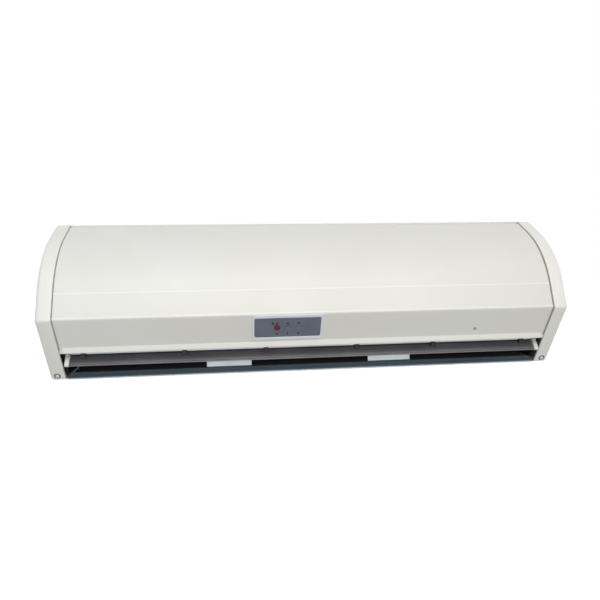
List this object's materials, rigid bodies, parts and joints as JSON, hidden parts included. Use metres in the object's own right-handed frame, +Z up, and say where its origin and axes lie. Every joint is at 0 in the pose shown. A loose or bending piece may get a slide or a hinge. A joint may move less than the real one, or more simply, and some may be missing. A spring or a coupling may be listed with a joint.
{
  "type": "air curtain",
  "caption": "Long wall-mounted air curtain with a curved front cover, moulded end caps, a slanted control fascia and a front outlet under a tilting vane.",
  "frame": {"origin": "centre of the back plate face that lies on the wall", "axes": "+X along the casing, +Y into the wall, +Z up"},
  "size_m": [0.9, 0.1943, 0.261],
  "materials": {
    "cover_paint": "semi-gloss",
    "cap_plastic": "semi-gloss",
    "panel_frame": "satin",
    "panel_plate": "satin",
    "red_key": "gloss",
    "grey_key": "satin",
    "lamp_lens": "gloss",
    "black_plastic": "satin",
    "vane_paint": "satin",
    "white_plastic": "satin",
    "galvanised": "satin",
    "sill_steel": "satin",
    "bright_steel": "polished",
    "black_paint": "matte",
    "rubber": "matte",
    "motor_aluminium": "cast",
    "board": "satin",
    "capacitor_case": "satin"
  },
  "bodies": {
    "casing": {"back_plate": "galvanised", "front_cover": "cover_paint", "left_end_cap": "cap_plastic", "right_end_cap": "cap_plastic", "intake_grille": "cover_paint", "outlet_tongue": "black_paint", "outlet_sill": "sill_steel", "side_plate_left": "black_paint", "side_plate_right": "black_paint", "scroll_left": "black_paint", "scroll_centre": "black_paint", "scroll_right": "black_paint", "bearing_holder_left": "rubber", "bearing_left": "bright_steel", "bearing_holder_centre": "rubber", "bearing_centre": "bright_steel", "bearing_holder_right": "rubber", "bearing_right": "bright_steel", "motor_housing_left": "motor_aluminium", "motor_bracket_left": "galvanised", "motor_ring_inner_left": "rubber", "motor_ring_outer_left": "rubber", "bay_plate_left": "bright_steel", "capacitor_left": "capacitor_case", "motor_housing_right": "motor_aluminium", "motor_bracket_right": "galvanised", "motor_ring_inner_right": "rubber", "motor_ring_outer_right": "rubber", "bay_plate_right": "bright_steel", "capacitor_right": "capacitor_case", "terminal_block": "white_plastic", "cable_grommet": "rubber", "control_board": "board", "control_frame": "panel_frame", "control_plate": "panel_plate", "receiver_window": "black_plastic", "indicator_1": "lamp_lens", "indicator_2": "lamp_lens", "indicator_3": "lamp_lens", "cap_screw_left": "bright_steel", "cap_screw_right": "bright_steel", "fascia_screw": "bright_steel"},
    "vane": {"vane_blade": "vane_paint", "vane_rod": "bright_steel", "vane_arm_left": "white_plastic", "vane_arm_right": "white_plastic", "vane_clip_left_1": "black_plastic", "vane_clip_left_2": "black_plastic", "vane_clip_left_3": "black_plastic", "vane_clip_right_1": "black_plastic", "vane_clip_right_2": "black_plastic", "vane_clip_right_3": "black_plastic"},
    "rotor_left": {"impeller_left": "black_plastic", "motor_shaft_left": "bright_steel", "impeller_centre": "black_plastic"},
    "rotor_right": {"motor_shaft_right": "bright_steel", "impeller_right": "black_plastic"},
    "power_button": {"button_power": "red_key"},
    "low_button": {"button_low": "grey_key"},
    "high_button": {"button_high": "grey_key"}
  },
  "joints": [
    {"name": "vane_tilt", "type": "hinge", "parent": "casing", "child": "vane", "pos_m": [0, -0.14187, -0.08368], "axis": [1, 0, 0], "range_deg": [-20, 50]},
    {"name": "rotor_left_spin", "type": "hinge", "parent": "casing", "child": "rotor_left", "pos_m": [-0.15, -0.095, 0.004], "axis": [1, 0, 0], "continuous": true},
    {"name": "rotor_right_spin", "type": "hinge", "parent": "casing", "child": "rotor_right", "pos_m": [0.295, -0.095, 0.004], "axis": [1, 0, 0], "continuous": true},
    {"name": "power_button_press", "type": "slide", "parent": "casing", "child": "power_button", "axis": [0, 0.8815, 0.4721], "range_m": [0, 0.0012], "stiffness_N_per_m": 400},
    {"name": "low_button_press", "type": "slide", "parent": "casing", "child": "low_button", "axis": [0, 0.8815, 0.4721], "range_m": [0, 0.0012], "stiffness_N_per_m": 400},
    {"name": "high_button_press", "type": "slide", "parent": "casing", "child": "high_button", "axis": [0, 0.8815, 0.4721], "range_m": [0, 0.0012], "stiffness_N_per_m": 400}
  ]
}
